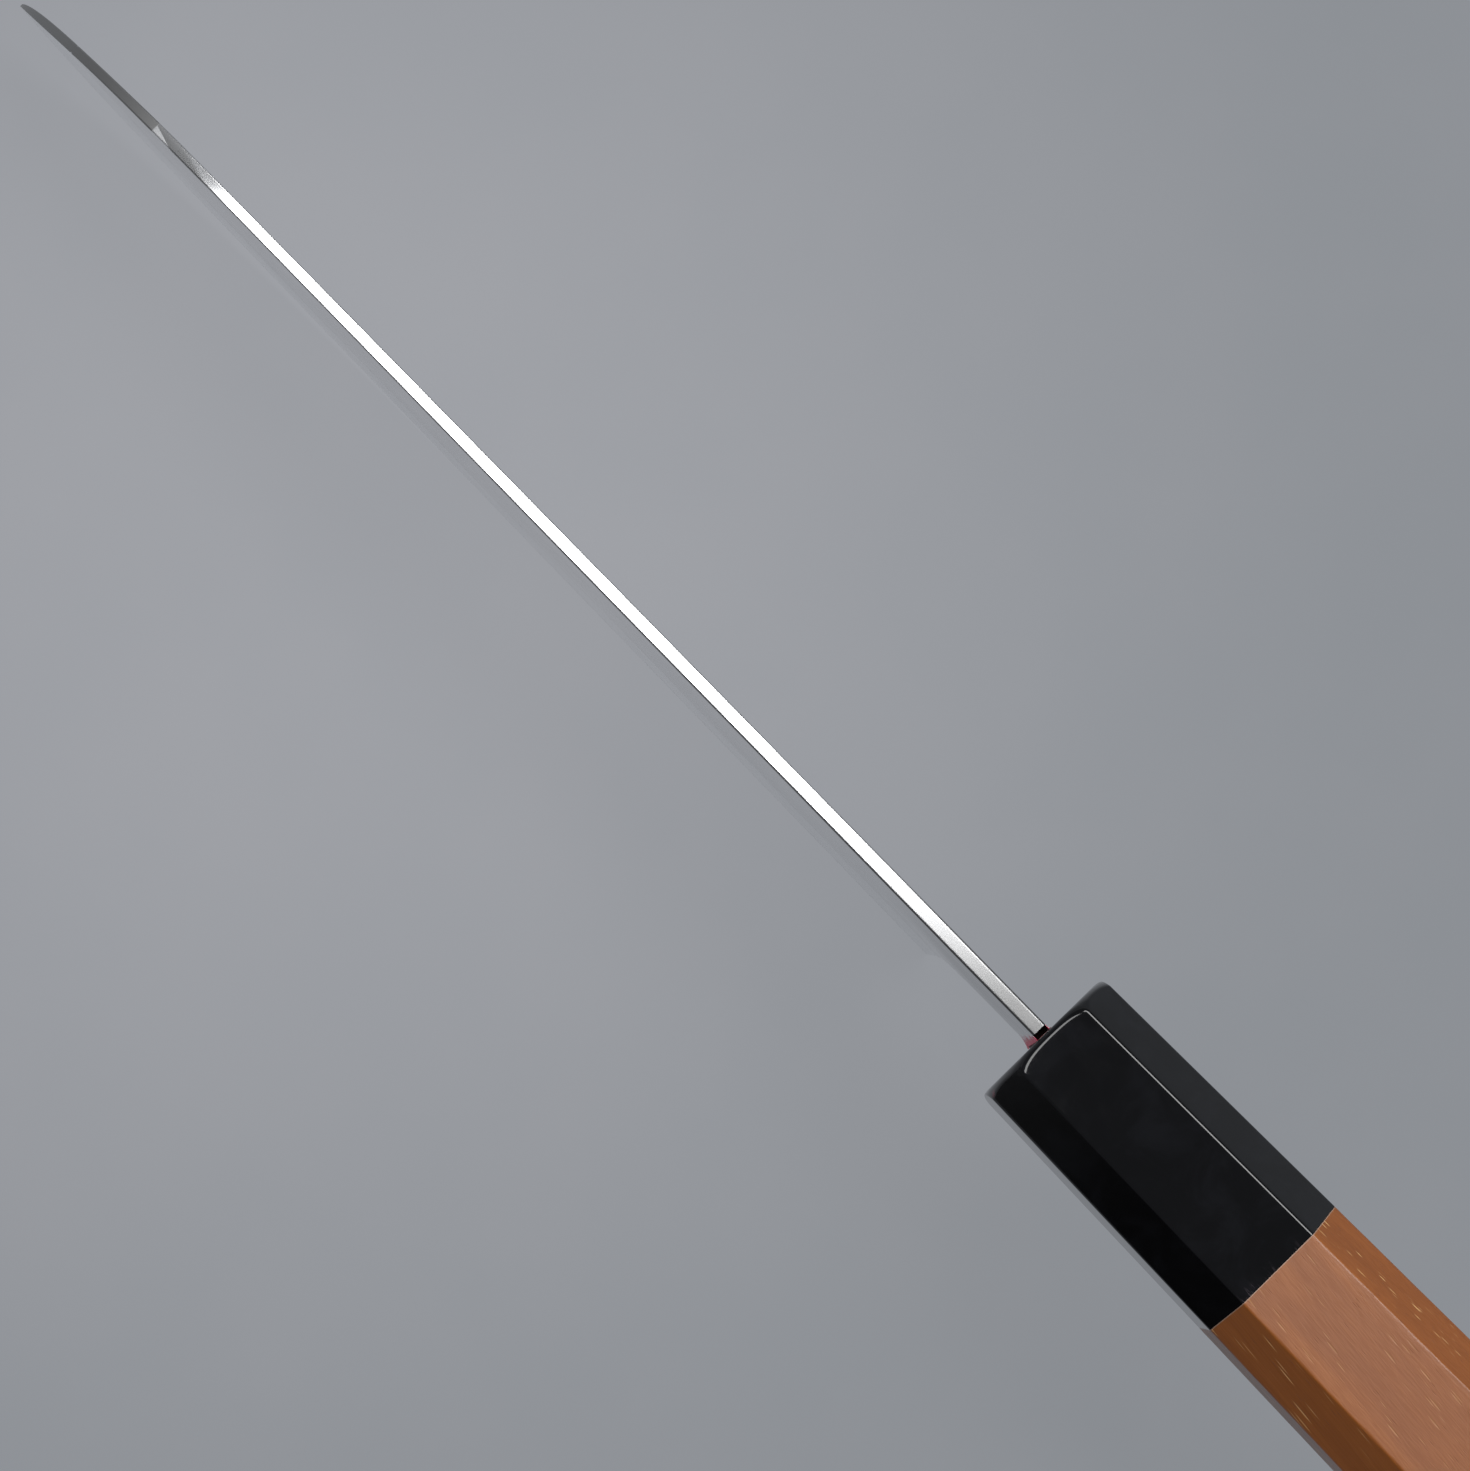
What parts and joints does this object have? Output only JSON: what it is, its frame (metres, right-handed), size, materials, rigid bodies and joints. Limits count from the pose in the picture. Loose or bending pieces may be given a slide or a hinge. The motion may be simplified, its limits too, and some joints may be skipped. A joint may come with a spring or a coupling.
{
  "type": "santoku knife",
  "caption": "Santoku kitchen knife with a laminated double-bevel blade, stepped neck, and a tapered octagonal wooden handle with a black ferrule.",
  "frame": {"origin": "middle of the overall length, in the blade's middle plane, on the level of the flat of the edge", "axes": "+X from butt to tip, +Y to the knife's left, +Z from edge to spine"},
  "size_m": [0.3073, 0.024, 0.0645],
  "materials": {
    "core_steel": "hard core steel, finely ground, a little bluer and brighter than the soft layers",
    "cladding_steel": "satin soft steel on the faces, polished along the spine",
    "black_ferrule": "black resin-bonded laminate, polished to a gloss",
    "handle_wood": "open-pored red-brown hardwood with a thin satin finish",
    "dowel_wood": "pale plain wood, hidden",
    "bedding_resin": "red-tinted cured epoxy, hidden but for a line at the mouth",
    "seal_resin": "red-tinted sealing resin"
  },
  "bodies": {
    "root": {"core_steel": "core_steel", "left_cladding": "cladding_steel", "right_cladding": "cladding_steel", "ferrule": "black_ferrule", "handle_body": "handle_wood", "tang_dowel": "dowel_wood", "tang_epoxy": "bedding_resin", "mouth_seal": "seal_resin"}
  },
  "joints": []
}
